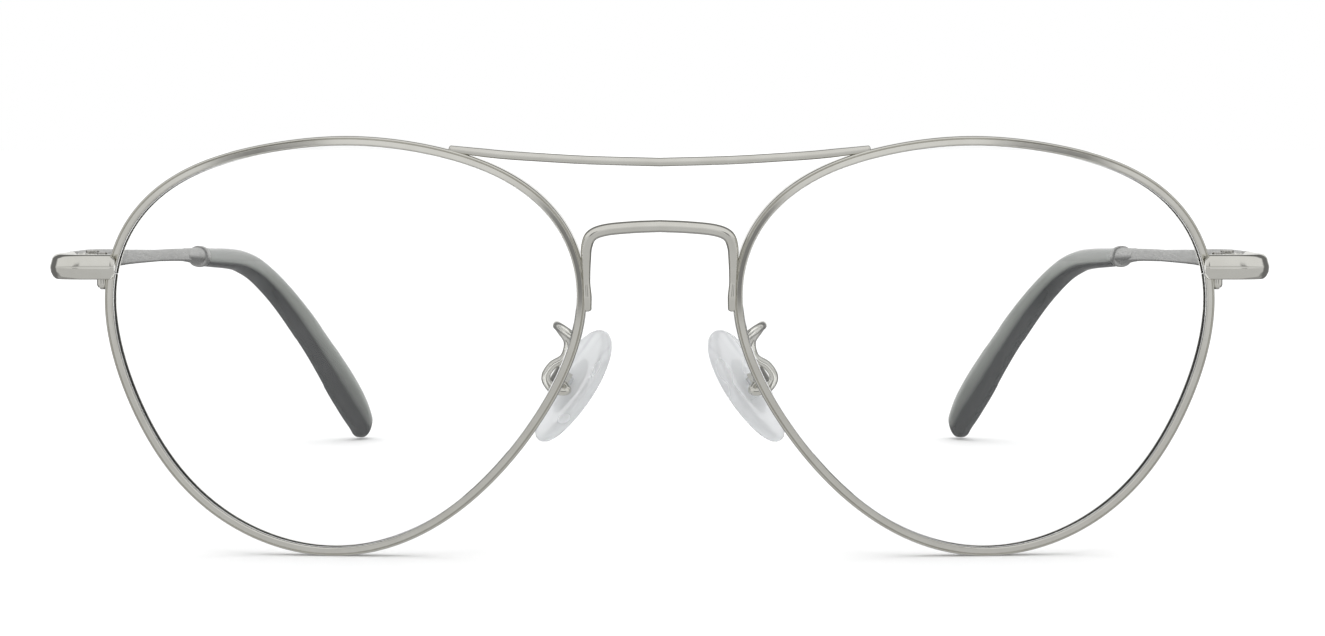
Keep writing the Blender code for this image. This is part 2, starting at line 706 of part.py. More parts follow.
make_rim()
make_lens()
make_brow_bar()
make_bridge()
make_rim_lock()
make_end_piece()
make_hinge()
make_temple()
make_ferrule()
make_tip()
make_pad_arm()
make_pad_box()
make_nose_pad()
make_pad_insert()
centre_on_floor()
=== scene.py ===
"""The looks of the wire eyeglasses: fine pieces in place of the faceted solids, procedural materials,
a pale floor, soft studio light and the camera. Lengths are in millimetres until a piece is made."""

import json
import math

import bmesh
import bpy
import numpy as np
from mathutils import Euler, Matrix, Vector


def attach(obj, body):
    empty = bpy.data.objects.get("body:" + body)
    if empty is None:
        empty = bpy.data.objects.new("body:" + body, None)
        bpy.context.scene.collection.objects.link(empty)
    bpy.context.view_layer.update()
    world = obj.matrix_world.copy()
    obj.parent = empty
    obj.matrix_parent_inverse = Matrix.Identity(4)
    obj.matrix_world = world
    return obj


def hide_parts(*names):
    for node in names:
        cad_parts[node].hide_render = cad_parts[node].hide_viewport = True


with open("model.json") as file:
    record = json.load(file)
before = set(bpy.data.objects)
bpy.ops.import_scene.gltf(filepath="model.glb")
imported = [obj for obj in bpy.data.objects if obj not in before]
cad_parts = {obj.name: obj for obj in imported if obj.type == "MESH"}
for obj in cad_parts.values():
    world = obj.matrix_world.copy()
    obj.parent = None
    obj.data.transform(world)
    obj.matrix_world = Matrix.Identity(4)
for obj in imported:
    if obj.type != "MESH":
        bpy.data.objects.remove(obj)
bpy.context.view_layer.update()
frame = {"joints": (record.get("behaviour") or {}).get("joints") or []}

MM = 0.001
SIDES = (("left", 1), ("right", -1))

# The eye shape: the rim wire's radius every 30 degrees, from the temple side upwards. These twelve
# numbers are the rounded output of a least-squares fit made by a separate program, not a hand design.
EYE_RADII = (27.3, 28.8, 25.4, 23.8, 25.5, 28.6, 26.3, 23.0, 22.8, 24.1, 24.9, 25.4)

# The model's other dimensions.
EYE_X, EYE_Y, EYE_Z = 36.2, 1.8, 24.6
BASE_CURVE = 110.0
RIM_SAG = 2.76
FRONT_LEAN = math.radians(4.0)
FRONT_WRAP = math.radians(3.5)
SPLIT_ANGLE = math.radians(16.5)
SPLIT_GAP = 0.1
LOCK = (64.75, 3.85, 33.1)
END_Y, END_Z = 1.85, 33.65
HINGE = (67.2, 11.0, 33.65)
TEMPLE_INWARD = math.radians(5.1)
BAR_MIDDLE = 2.45
BAR_HALF_SIDE = 0.65
BAR_HALF_HEIGHTS = ((0, 1.42), (8, 1.35), (24, 0.93), (40, 0.75), (55, 0.85))
BAR_END = 56.4
TIP_START = 64.2
TIP_HALF_SIDES = ((64.6, 1.2), (85, 1.38), (100, 1.5), (118, 1.55), (134, 1.7), (139, 1.6))
TIP_HALF_HEIGHTS = (
    (64.6, 1.27), (85, 1.5), (97, 1.8), (106, 2.05), (118, 2.52), (129, 3.05), (135, 2.85), (139, 2.4)
)
PAD_PIVOT = (11.7, 9.7, 20.3)
PAD_TURN = (math.radians(90), -math.radians(31.7), math.radians(60))
PAD_HALF_LENGTH, PAD_HALF_WIDTH = 7.6, 4.0
LENS_HALF_THICKNESS = 0.9
PAD_WIRE_RADIUS = 0.52

# The view. The camera stands in front of the frame and looks slightly down.
CAMERA_AT = (0.32, -350.0, 49.7)
CAMERA_PITCH = math.radians(3.567)
CAMERA_LENS = 82.81
CAMERA_SENSOR = 36.0
FLOOR_HALF_SIZE = 6.0


def placed(location, turn=(0, 0, 0), order="XYZ"):
    return Matrix.Translation(Vector(location) * MM) @ Euler(turn, order).to_matrix().to_4x4()


JOINTS = {joint["name"]: joint for joint in frame["joints"]}
HINGE_WORLD = Vector(JOINTS["temple_left_fold"]["pos_m"])
ROOT = Matrix.Translation(HINGE_WORLD - Vector(HINGE) * MM)
FRONT = ROOT @ placed((0, EYE_Y, EYE_Z), (FRONT_LEAN, 0, 0))
EYE = FRONT @ placed((EYE_X, 0, 0), (math.radians(90), 0, FRONT_WRAP))
HINGE_FRAME = ROOT @ placed(HINGE, (0, 0, TEMPLE_INWARD))
PAD = ROOT @ placed(PAD_PIVOT, PAD_TURN, "XZY")


# --- Curves and sections ---


def through(points, steps):
    """A Catmull-Rom curve through the points, with this many steps between neighbours."""
    points = np.array(points, float)
    knots = np.vstack([2 * points[0] - points[1], points, 2 * points[-1] - points[-2]])
    path = []
    for a, b, c, d in zip(knots, knots[1:], knots[2:], knots[3:]):
        for t in np.arange(steps) / steps:
            bend = (2 * a - 5 * b + 4 * c - d) * t**2 + (3 * b - a - 3 * c + d) * t**3
            path.append(b + ((c - a) * t + bend) / 2)
    return np.array(path + [knots[-2]])


def lengths_along(path):
    steps = np.linalg.norm(np.diff(path, axis=0), axis=1)
    return np.concatenate([[0], np.cumsum(steps)])


def evenly(path, spacing):
    """The same path with its points a fixed distance apart."""
    along = lengths_along(path)
    wanted = np.linspace(0, along[-1], max(2, round(along[-1] / spacing) + 1))
    return np.stack([np.interp(wanted, along, path[:, axis]) for axis in range(3)], axis=1)


def unit(vectors):
    return vectors / np.linalg.norm(vectors, axis=-1, keepdims=True)


def directions(path, closed=False):
    if closed:
        return unit(np.roll(path, -1, axis=0) - np.roll(path, 1, axis=0))
    return unit(np.gradient(path, axis=0))


def carried_frames(path):
    """Side and height directions that turn as little as possible along the path."""
    ahead = directions(path)
    side = np.cross(ahead[0], (0.3, 0.2, 1.0))
    sides = []
    for tangent in ahead:
        side = unit(side - tangent * np.dot(side, tangent))
        sides.append(side)
    sides = np.array(sides)
    return ahead, sides, np.cross(sides, ahead)


def level_frames(path):
    """Side and height directions with the sides kept level."""
    ahead = directions(path)
    sides = unit(np.cross(ahead, (0, 0, 1)))
    return ahead, sides, np.cross(sides, ahead)


def between(knots, values):
    places, sizes = zip(*knots)
    return np.interp(values, places, sizes)


def smoothed(values, reach=4):
    """A running mean, with the ends held."""
    padded = np.pad(values, reach, mode="edge")
    return np.convolve(padded, np.ones(2 * reach + 1) / (2 * reach + 1), mode="valid")


def eased(outline, radius, steps=4, closed=True):
    """The outline with each corner rounded by up to this radius."""
    outline = np.array(outline, float)
    count = len(outline)
    points = []
    for i, corner in enumerate(outline):
        if not closed and i in (0, count - 1):
            points.append(corner)
            continue
        before, after = outline[i - 1] - corner, outline[(i + 1) % count] - corner
        reach_in = min(radius, np.linalg.norm(before) * 0.49)
        reach_out = min(radius, np.linalg.norm(after) * 0.49)
        start, end = corner + unit(before) * reach_in, corner + unit(after) * reach_out
        for t in np.linspace(0, 1, steps):
            points.append((1 - t) ** 2 * start + 2 * t * (1 - t) * corner + t**2 * end)
    return np.array(points)


def rounded_oblong(half_side, half_height, power=2.0, count=32):
    """A superellipse: power 2 is an ellipse, and a higher power has flatter sides."""
    angles = math.tau * (np.arange(count) + 0.5) / count
    c, s = np.cos(angles), np.sin(angles)
    share = (np.abs(c) ** power + np.abs(s) ** power) ** (-1 / power)
    return np.stack([half_side * c * share, half_height * s * share], axis=1)


# --- Shapes: (points, faces) in millimetres ---


def skin(rings, closed=False):
    """A skin over rings of equal count. It meets itself, or else each end is fanned shut."""
    rings = np.asarray(rings, float)
    rows, count = rings.shape[:2]
    points = rings.reshape(-1, 3)
    faces = []
    for row in range(rows if closed else rows - 1):
        near, far = row * count, (row + 1) % rows * count
        for i in range(count):
            j = (i + 1) % count
            faces.append((near + i, near + j, far + j, far + i))
    if not closed:
        last = (rows - 1) * count
        middle = len(points)
        points = np.vstack([points, rings[0].mean(axis=0), rings[-1].mean(axis=0)])
        for i in range(count):
            j = (i + 1) % count
            faces.append((middle, j, i))
            faces.append((middle + 1, last + i, last + j))
    return points, faces


def merged(*shapes):
    points, faces, start = [], [], 0
    for shape_points, shape_faces in shapes:
        points.append(shape_points)
        faces += [tuple(start + i for i in face) for face in shape_faces]
        start += len(shape_points)
    return np.vstack(points), faces


def swept(path, frames, section, scale=None):
    """Rings of the section along the path; scale gives (side, height) factors at each point."""
    _, sides, heights = frames
    scale = np.ones((len(path), 2)) if scale is None else np.asarray(scale)
    across = section[None, :, 0, None] * scale[:, None, 0:1] * sides[:, None, :]
    upwards = section[None, :, 1, None] * scale[:, None, 1:2] * heights[:, None, :]
    return path[:, None, :] + across + upwards


def domed(rings, ahead_start, ahead_end, reach, steps=6):
    """The rings with a rounded dome of this reach added outside each end."""
    start, end = rings[0], rings[-1]
    first, last = [], []
    for t in np.linspace(0, 1, steps + 1)[1:] * 0.97:
        shrink, push = math.cos(t * math.pi / 2), math.sin(t * math.pi / 2) * reach
        first.append(start.mean(axis=0) + (start - start.mean(axis=0)) * shrink - ahead_start * push)
        last.append(end.mean(axis=0) + (end - end.mean(axis=0)) * shrink + ahead_end * push)
    return np.concatenate([first[::-1], rings, last])


def wire(path, radius, sides=24, spacing=0.15):
    """A round wire with domed ends."""
    path = evenly(path, spacing)
    frames = carried_frames(path)
    rings = swept(path, frames, rounded_oblong(radius, radius, 2.0, sides))
    return skin(domed(rings, frames[0][0], frames[0][-1], radius))


def turned(outline, centre=(0, 0, 0), axis="Z", sides=48, ease=0.06, tube=False):
    """A turned shape: outline gives (radius, height) upwards, and its corners are eased."""
    outline = eased(outline, ease, closed=tube)
    angles = math.tau * np.arange(sides) / sides
    ring = np.stack([np.cos(angles), np.sin(angles), np.zeros(sides)], axis=1)
    solid = outline if tube else outline[outline[:, 0] > 1e-6]
    rings = ring[None] * solid[:, 0, None, None]
    rings[:, :, 2] = solid[:, 1, None]
    points, faces = skin(rings, closed=tube)
    if axis == "X":
        points = points[:, [2, 0, 1]]
    return points + np.array(centre), faces


def block(low, high, ease=0.12):
    """A box whose edges are all eased."""
    low, high = np.array(low, float), np.array(high, float)
    middle, half = (low + high) / 2, (high - low) / 2
    ease = min(ease, half.min() * 0.9)
    rings = []
    for inset, height in ((1.0, -half[2]), (0.3, -half[2] + 0.3 * ease), (0.0, -half[2] + ease)):
        rings.append((inset * ease, height))
    rings += [(inset, -height) for inset, height in reversed(rings)]
    loops = []
    for inset, height in rings:
        x, y = half[0] - inset, half[1] - inset
        loop = eased([(-x, -y), (x, -y), (x, y), (-x, y)], max(ease - inset, 0.02))
        loops.append([(*point, height) for point in loop])
    points, faces = skin(loops)
    return points + middle, faces


def slotted_head(radius, low, high, slot, centre=(0, 0, 0), axis="Z", turn=0.4):
    """A screw head in two halves beside its slot, on a thin disc."""
    floor = low + (high - low) * 0.45
    shapes = [turned(((0, low), (radius, low), (radius, floor), (0, floor)), ease=0.03)]
    reach = math.acos(slot / radius)
    angles = np.linspace(-reach, reach, 20)
    angles = angles + math.pi / 2
    half = np.stack([radius * np.cos(angles), radius * np.sin(angles)], axis=1)
    for sign in (1, -1):
        loop = eased(half * (1, sign), 0.03)
        inner = loop * 0.96 + loop.mean(axis=0) * 0.04
        layers = ((loop, floor - 0.02), (loop, high - 0.05), (inner, high))
        shapes.append(skin([[(*point, height) for point in ring] for ring, height in layers]))
    points, faces = merged(*shapes)
    spin = np.array(Matrix.Rotation(turn, 3, "Z"))
    points = points @ spin.T
    if axis == "X":
        points = points[:, [2, 0, 1]]
    return points + np.array(centre), faces


# --- Node materials ---


def new_material(name):
    material = bpy.data.materials.new(name)
    material.use_nodes = True
    tree = material.node_tree
    return material, tree, tree.nodes["Principled BSDF"]


def node(tree, kind, settings=None, **inputs):
    made = tree.nodes.new(kind)
    for key, value in (settings or {}).items():
        setattr(made, key, value)
    for key, value in inputs.items():
        socket = made.inputs[key.replace("_", " ")]
        if isinstance(value, bpy.types.NodeSocket):
            tree.links.new(value, socket)
        else:
            socket.default_value = value
    return made


def stretched_noise(tree, stretch, scale, detail=4.0):
    """Noise over the object, drawn out by the stretch along each axis."""
    place = node(tree, "ShaderNodeTexCoord").outputs["Object"]
    mapping = node(tree, "ShaderNodeMapping", Vector=place, Scale=stretch)
    where = mapping.outputs["Vector"]
    noise = node(tree, "ShaderNodeTexNoise", Vector=where, Scale=scale, Detail=detail)
    return noise.outputs["Fac"]


def ranged(tree, value, low, high, start=0.3, end=0.7):
    spread = node(tree, "ShaderNodeMapRange", Value=value)
    for key, number in (("From Min", start), ("From Max", end), ("To Min", low), ("To Max", high)):
        spread.inputs[key].default_value = number
    return spread.outputs["Result"]


def coloured(tree, value, *stops):
    ramp = node(tree, "ShaderNodeValToRGB", Fac=value)
    elements = ramp.color_ramp.elements
    while len(elements) < len(stops):
        elements.new(0.5)
    for element, (place, colour) in zip(elements, stops):
        element.position = place
        element.color = (*colour, 1.0)
    return ramp.outputs["Color"]


def bumped(tree, height, strength, distance):
    bump = node(tree, "ShaderNodeBump", Height=height, Strength=strength, Distance=distance)
    return bump.outputs["Normal"]


def connect(tree, shader, **inputs):
    for key, value in inputs.items():
        socket = shader.inputs[key.replace("_", " ")]
        if isinstance(value, bpy.types.NodeSocket):
            tree.links.new(value, socket)
        else:
            socket.default_value = value


def polished_metal():
    """Warm silver plating: soft blotches of tarnish, fine polishing marks and a wavy shine."""
    material, tree, shader = new_material("polished_metal")
    blotches = stretched_noise(tree, (1, 1, 1), 320.0, 5.0)
    marks = stretched_noise(tree, (1, 1, 6), 2600.0, 3.0)
    colour = coloured(tree, blotches, (0.3, (0.62, 0.61, 0.565)), (0.7, (0.675, 0.668, 0.625)))
    connect(tree, shader, Base_Color=colour, Metallic=1.0, Roughness=ranged(tree, blotches, 0.06, 0.13))
    connect(tree, shader, Normal=bumped(tree, marks, 0.05, 0.00002))
    return material


def satin_metal():
    """Silver with brushing lines along the bar."""
    material, tree, shader = new_material("satin_metal")
    brushing = stretched_noise(tree, (22, 0.5, 22), 260.0, 6.0)
    clouds = stretched_noise(tree, (1, 1, 1), 140.0, 3.0)
    colour = coloured(tree, clouds, (0.3, (0.56, 0.56, 0.55)), (0.7, (0.625, 0.625, 0.615)))
    connect(tree, shader, Base_Color=colour, Metallic=1.0, Roughness=ranged(tree, brushing, 0.24, 0.4))
    connect(tree, shader, Specular_Tint=(0.7, 0.7, 0.69, 1.0))
    connect(tree, shader, Normal=bumped(tree, brushing, 0.03, 0.00002))
    return material


def screw_steel():
    """Turned steel, darker than the plated parts, with fine rings in its tone and roughness."""
    material, tree, shader = new_material("screw_steel")
    rings = stretched_noise(tree, (1, 1, 9), 1900.0, 4.0)
    colour = coloured(tree, rings, (0.3, (0.42, 0.41, 0.39)), (0.7, (0.54, 0.53, 0.50)))
    connect(tree, shader, Base_Color=colour, Metallic=1.0, Roughness=ranged(tree, rings, 0.2, 0.36))
    connect(tree, shader, Normal=bumped(tree, rings, 0.15, 0.00003))
    return material


def clear_to_lamps(material, tree, shader, tint):
    """Lets lamp light through a clear material, so that it throws no black shadow."""
    output = tree.nodes["Material Output"]
    through_light = node(tree, "ShaderNodeBsdfTransparent", Color=(*tint, 1.0))
    shadow_ray = node(tree, "ShaderNodeLightPath").outputs["Is Shadow Ray"]
    mixed = node(tree, "ShaderNodeMixShader", Fac=shadow_ray)
    tree.links.new(shader.outputs["BSDF"], mixed.inputs[1])
    tree.links.new(through_light.outputs["BSDF"], mixed.inputs[2])
    tree.links.new(mixed.outputs["Shader"], output.inputs["Surface"])
    return material


def clear_lens():
    """Polished lens plastic, with a trace of waviness from the cast."""
    material, tree, shader = new_material("clear_lens")
    cast = stretched_noise(tree, (1, 1, 1), 60.0, 2.0)
    colour = coloured(tree, cast, (0.3, (0.985, 0.99, 0.99)), (0.7, (0.995, 0.998, 0.998)))
    connect(tree, shader, Base_Color=colour, Roughness=0.0, IOR=1.5, Transmission_Weight=1.0)
    connect(tree, shader, Normal=bumped(tree, cast, 0.01, 0.0001))
    return clear_to_lamps(material, tree, shader, (0.97, 0.98, 0.98))


def dark_tip():
    """Glossy near-black acetate, with a pale grey-green sheen painted on the faces turned up and towards the
    head: a painted reflection of the soft light.
    """
    material, tree, shader = new_material("dark_tip")
    mottle = stretched_noise(tree, (1, 0.6, 1), 220.0, 6.0)
    peel = stretched_noise(tree, (1, 1, 1), 900.0, 2.0)
    # Painted sheen: the share of pale grey-green grows where the surface normal turns towards the head and
    # upwards, where the soft light's reflection falls.
    place = node(tree, "ShaderNodeTexCoord").outputs["Object"]
    inward = node(tree, "ShaderNodeVectorMath", {"operation": "MULTIPLY_ADD"})
    tree.links.new(place, inward.inputs[0])
    inward.inputs[1].default_value = (-18.0, 0.0, 0.0)
    inward.inputs[2].default_value = (0.0, 0.0, 0.8)
    facing = node(tree, "ShaderNodeVectorMath", {"operation": "DOT_PRODUCT"})
    tree.links.new(node(tree, "ShaderNodeNewGeometry").outputs["Normal"], facing.inputs[0])
    tree.links.new(inward.outputs["Vector"], facing.inputs[1])
    painted_sheen_share = ranged(tree, facing.outputs["Value"], 0.0, 0.85, 0.55, 0.95)
    shade = node(tree, "ShaderNodeMath", {"operation": "MULTIPLY_ADD"})
    tree.links.new(mottle, shade.inputs[0])
    shade.inputs[1].default_value = 0.15
    tree.links.new(painted_sheen_share, shade.inputs[2])
    dark = ((0.0, (0.010, 0.012, 0.013)), (0.25, (0.018, 0.020, 0.021)))
    # The pale stops are the painted reflection of the soft light. The near-black stops are the tip's own
    # colour, and the mottle is its own random tone.
    pale = ((0.85, (0.185, 0.197, 0.182)), (1.0, (0.215, 0.228, 0.21)))
    colour = coloured(tree, shade.outputs["Value"], *dark, *pale)
    connect(tree, shader, Base_Color=colour, Roughness=ranged(tree, mottle, 0.10, 0.17), IOR=1.5)
    connect(tree, shader, Specular_IOR_Level=0.2)
    connect(tree, shader, Normal=bumped(tree, peel, 0.05, 0.00004))
    return material


def silicone():
    """Soft clear silicone, slightly milky, with faint flow lines along the pad."""
    material, tree, shader = new_material("silicone")
    place = node(tree, "ShaderNodeTexCoord").outputs["Object"]
    either_side = node(tree, "ShaderNodeVectorMath", {"operation": "ABSOLUTE"})
    tree.links.new(place, either_side.inputs[0])
    folded = either_side.outputs["Vector"]
    along = node(tree, "ShaderNodeMapping", {"vector_type": "TEXTURE"}, Vector=folded)
    along.inputs["Rotation"].default_value = (0.0, -math.radians(38), 0.0)
    along.inputs["Scale"].default_value = (1.0, 3.0, 12.0)
    flow = node(tree, "ShaderNodeTexNoise", Vector=along.outputs["Vector"], Scale=900.0, Detail=2.0)
    waves = stretched_noise(tree, (1, 1, 1), 160.0, 1.0)
    milky = ((0.28, (0.73, 0.745, 0.76)), (0.4, (0.85, 0.86, 0.87)))
    pale = ((0.5, (0.87, 0.88, 0.89)), (0.72, (0.92, 0.93, 0.94)))
    colour = coloured(tree, flow.outputs["Fac"], *milky, *pale)
    connect(tree, shader, Base_Color=colour, Roughness=ranged(tree, waves, 0.2, 0.32), IOR=1.41)
    connect(tree, shader, Transmission_Weight=0.55)
    connect(tree, shader, Normal=bumped(tree, waves, 0.05, 0.00005))
    return clear_to_lamps(material, tree, shader, (0.88, 0.89, 0.9))


def insert_plastic():
    """The hard clear plate inside each pad, with fine moulding marks."""
    material, tree, shader = new_material("pad_insert")
    marks = stretched_noise(tree, (1, 1, 3), 1200.0, 3.0)
    colour = coloured(tree, marks, (0.3, (0.78, 0.79, 0.79)), (0.7, (0.88, 0.88, 0.88)))
    connect(tree, shader, Base_Color=colour, Roughness=ranged(tree, marks, 0.1, 0.25), IOR=1.49)
    connect(tree, shader, Transmission_Weight=0.7)
    connect(tree, shader, Normal=bumped(tree, marks, 0.06, 0.00003))
    return clear_to_lamps(material, tree, shader, (0.85, 0.85, 0.86))


MATERIALS = {
    "polished_metal": polished_metal(),
    "satin_metal": satin_metal(),
    "screw_steel": screw_steel(),
    "clear_lens": clear_lens(),
    "dark_tip": dark_tip(),
    "silicone": silicone(),
    "pad_insert": insert_plastic(),
}


# --- Pieces ---


def make_piece(name, shape, place, slot, body, nodes, sharp=35):
    """One mesh object in the row frame, riding on its body in place of its CAD nodes."""
    points, faces = shape
    matrix = np.array(place)
    world = points * MM @ matrix[:3, :3].T + matrix[:3, 3]
    mesh = bpy.data.meshes.new(name)
    mesh.from_pydata(world.tolist(), [], faces)
    bm = bmesh.new()
    bm.from_mesh(mesh)
    bmesh.ops.remove_doubles(bm, verts=bm.verts, dist=1e-7)
    bmesh.ops.recalc_face_normals(bm, faces=bm.faces)
    bm.to_mesh(mesh)
    bm.free()
    mesh.shade_smooth()
    mesh.set_sharp_from_angle(angle=math.radians(sharp))
    mesh.materials.append(MATERIALS[slot])
    piece = bpy.data.objects.new(name, mesh)
    bpy.context.scene.collection.objects.link(piece)
    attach(piece, body)
    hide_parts(*nodes)


def make_pair(name, shape, place, slot, body, node_name, sharp=35):
    """The left piece and its reflection. A body that differs by side ends in an underscore."""
    for side, sign in SIDES:
        mirror = Matrix.Scale(sign, 4, (1, 0, 0)) @ place
        rides = body + side if body.endswith("_") else body
        make_piece(f"{name}_{side}", shape, mirror, slot, rides, [f"{node_name}_{side}"], sharp)


def eye_radius(angles):
    """The rim wire's radius: the trigonometric curve through EYE_RADII."""
    count = len(EYE_RADII)
    total = np.zeros_like(angles)
    for index, radius in enumerate(EYE_RADII):
        offset = angles - math.tau * index / count
        waves = sum(2 * np.cos(k * offset) for k in range(1, count // 2))
        total += radius * (1 + waves + np.cos(count / 2 * offset)) / count
    return total


def sag(points):
    """How far the base curve has fallen back at points of the eye plane."""
    across = points[..., 0] ** 2 + points[..., 1] ** 2
    return BASE_CURVE - np.sqrt(BASE_CURVE**2 - across) - RIM_SAG


def eye_line(angles):
    """Points on the rim wire's line, and the directions out of the eye, both flat."""
    step = 1e-4
    radius = eye_radius(angles)
    slope = (eye_radius(angles + step) - eye_radius(angles - step)) / (2 * step)
    c, s = np.cos(angles), np.sin(angles)
    line = np.stack([radius * c, radius * s], axis=1)
    ahead = np.stack([slope * c - radius * s, slope * s + radius * c], axis=1)
    ahead = unit(ahead)
    return line, np.stack([ahead[:, 1], -ahead[:, 0]], axis=1)


def eye_rings(angles, section, lean=0.0):
    """Rings of a section given as (outwards, forwards), bent onto the base curve.

    The lean draws the section's back in towards the lens, most of all on the temple's side.
    """
    line, outwards = eye_line(angles)
    drawn = lean * (1 + np.cos(angles))[:, None] * (section[:, 1].max() - section[:, 1])[None, :]
    flat = line[:, None, :] + outwards[:, None, :] * (section[None, :, 0] - drawn)[:, :, None]
    forwards = np.broadcast_to(section[None, :, 1], flat.shape[:2]) - sag(flat)
    return np.concatenate([flat, forwards[..., None]], axis=2)


def make_rims():
    """The grooved wire, with a fine step along its front and a hairline split at the lock."""
    edge = [(0.55, 0.62), (0.53, 0.85), (0.44, 0.99), (0.32, 1.03)]
    step = [(0.27, 0.87), (0.2, 0.87), (0.15, 1.045)]
    front = [(0.07, 1.045), (-0.31, 1.05), (-0.4, 1.05), (-0.5, 0.97), (-0.55, 0.8)]
    inside = [(-0.55, 0.45), (-0.2, 0.1), (-0.2, -0.1), (-0.55, -0.45)]
    back = [(-0.54, -0.82), (-0.4, -1.0), (0.0, -1.05), (0.36, -1.0), (0.53, -0.8), (0.545, 0.0)]
    section = eased(edge + step + front + inside + back, 0.07, 3)
    gap = SPLIT_GAP / eye_radius(np.array([SPLIT_ANGLE]))[0]
    angles = SPLIT_ANGLE + np.linspace(gap / 2, math.tau - gap / 2, 420)
    shape = skin(eye_rings(angles, section, 0.1))
    make_pair("rim_wire", shape, EYE, "polished_metal", "front", "rim", 50)


def make_lenses():
    """A meniscus of even thickness whose bevel runs in the rim's groove."""
    angles = math.tau * np.arange(240) / 240
    line, outwards = eye_line(angles)
    bevel = ((0.57, 0.84), (0.57, 0.4), (0.24, 0.04), (0.24, -0.04), (0.57, -0.4), (0.57, -0.84))
    rings = []
    for half in (LENS_HALF_THICKNESS, -LENS_HALF_THICKNESS):
        face = []
        for share in np.linspace(0.12, 1.0, 12):
            flat = (line - outwards * 0.62) * share
            face.append(np.column_stack([flat, half - sag(flat)]))
        rings += face if half > 0 else face[::-1]
        if half > 0:
            for inset, forward in bevel:
                flat = line - outwards * inset
                rings.append(np.column_stack([flat, forward - sag(flat)]))
    make_pair("lens_disc", skin(rings), EYE, "clear_lens", "front", "lens")


def mirrored_path(half, steps):
    left = through(half, steps)
    return np.vstack([left[:0:-1] * (-1, 1, 1), left])


def make_brow_bar():
    """A thin bar that lies on both rims, narrowing at its soldered ends."""
    middle = [(0, -1.4, 21.36), (8, -1.35, 21.58), (14.3, -1.2, 21.93)]
    end = [(17.7, -1.12, 22.16), (20.5, -1.06, 22.44), (23.9, -1.0, 22.84)]
    path = evenly(mirrored_path(middle + end, 12), 0.2)
    reach = np.abs(path[:, 0])
    factors = between(((0, 1), (20, 1), (23.9, 0.8)), reach)
    section = rounded_oblong(0.46, 0.5, 2.4, 28)
    frames = carried_frames(path)
    rings = swept(path, frames, section, np.stack([factors, factors], axis=1))
    shape = skin(domed(rings, frames[0][0], frames[0][-1], 0.25))
    make_piece("brow_wire", shape, FRONT, "polished_metal", "front", ["brow_bar"])


def make_bridge():
    """A flat arch whose legs run down beside the rims to rounded feet."""
    crown = [(0, -2.0, 14.08), (3.2, -1.95, 13.94), (6.2, -1.85, 13.62)]
    corner = [(7.8, -1.75, 12.98), (8.36, -1.6, 11.75)]
    leg = [(8.45, -1.5, 10.2), (8.46, -1.4, 8.6), (8.43, -1.35, 7.2)]
    foot = [(8.36, -1.42, 5.9), (8.36, -1.38, 4.45)]
    path = evenly(mirrored_path(crown + corner + leg + foot, 12), 0.15)
    factors = between(((4.4, 0.74), (5.9, 0.78), (7.4, 0.66), (9.0, 0.74), (12.9, 1.0)), path[:, 2])
    section = rounded_oblong(0.69, 0.69, 2.2, 32)
    frames = carried_frames(path)
    rings = swept(path, frames, section, np.stack([factors, factors], axis=1))
    shape = skin(domed(rings, frames[0][0], frames[0][-1], 0.35))
    make_piece("bridge_wire", shape, FRONT, "polished_metal", "front", ["bridge"])


def make_rim_locks():
    """Two barrels at the rim's split, and the screw that draws them together."""
    lower = ((0.36, -1.9), (0.5, -1.9), (0.66, -1.6), (0.66, -0.12), (0.36, -0.12))
    upper = ((0.36, 0.2), (0.66, 0.2), (0.66, 1.8), (0.36, 1.8))
    for name, outline in (("lower", lower), ("upper", upper)):
        barrel = turned(outline, LOCK, tube=True)
        make_pair(f"lock_{name}", barrel, ROOT, "polished_metal", "front", f"rim_lock_{name}")
    shank = ((0, -2.12), (0.24, -2.12), (0.33, -2.0), (0.33, 1.9), (0, 1.9))
    head = slotted_head(0.62, 1.85, 2.2, 0.1)
    points, faces = merged(turned(shank), head)
    shape = (points + np.array(LOCK), faces)
    make_pair("lock_screw", shape, ROOT, "screw_steel", "front", "rim_lock_screw")


def make_end_pieces():
    """A half-round bar across the rim's front, bent back to the hinge."""
    front = [(63.5, END_Y), (65.6, END_Y), (67.6, END_Y + 0.05), (69.2, 2.5), (70.1, 3.7), (70.25, 5.0)]
    turn = np.array(Matrix.Rotation(TEMPLE_INWARD, 3, "Z"))
    rear = [np.array(HINGE) + turn @ np.array((BAR_MIDDLE, y, 0)) for y in (-4.6, -2.4, -0.12)]
    points = [(x, y, END_Z) for x, y in front] + [tuple(point) for point in rear]
    path = evenly(through(points, 10), 0.12)
    lower = [(-0.63, -1.18), (-0.23, -1.46), (0.18, -1.4), (0.4, -1.15), (0.6, -0.6), (0.68, -0.09)]
    upper = [(0.6, 0.0), (0.68, 0.09), (0.5, 1.02), (0.38, 1.25)]
    shoulder = [(0.15, 1.42), (-0.25, 1.47), (-0.63, 1.18)]
    facets = np.array(lower + upper + shoulder)
    dome = -0.3 + 0.98 * np.sqrt(1 - (facets[:, 1] / 1.5) ** 2)
    domed_face = np.stack([np.where(facets[:, 0] < -0.5, facets[:, 0], dome), facets[:, 1]], axis=1)
    frames = level_frames(path)
    round_share = np.clip((path[:, 0] - 66.8) / 2.4, 0, 1)[:, None, None]
    flat_rings = swept(path, frames, eased(facets, 0.1, 4))
    round_rings = swept(path, frames, eased(domed_face, 0.1, 4))
    rings = flat_rings + (round_rings - flat_rings) * round_share
    centre_start, centre_end = rings[0].mean(axis=0), rings[-1].mean(axis=0)
    slant = []
    for t in (1.0, 0.66, 0.33):
        shrunk = (rings[0] - centre_start) * (1 - 0.4 * t)
        slant.append(centre_start - frames[0][0] * (0.5 * t) + shrunk)
    last = centre_end + (rings[-1] - centre_end) * 0.95
    rings = np.concatenate([slant, rings[:-1], [last]])
    make_pair("end_bar", skin(rings), ROOT, "polished_metal", "front", "end_piece", 50)


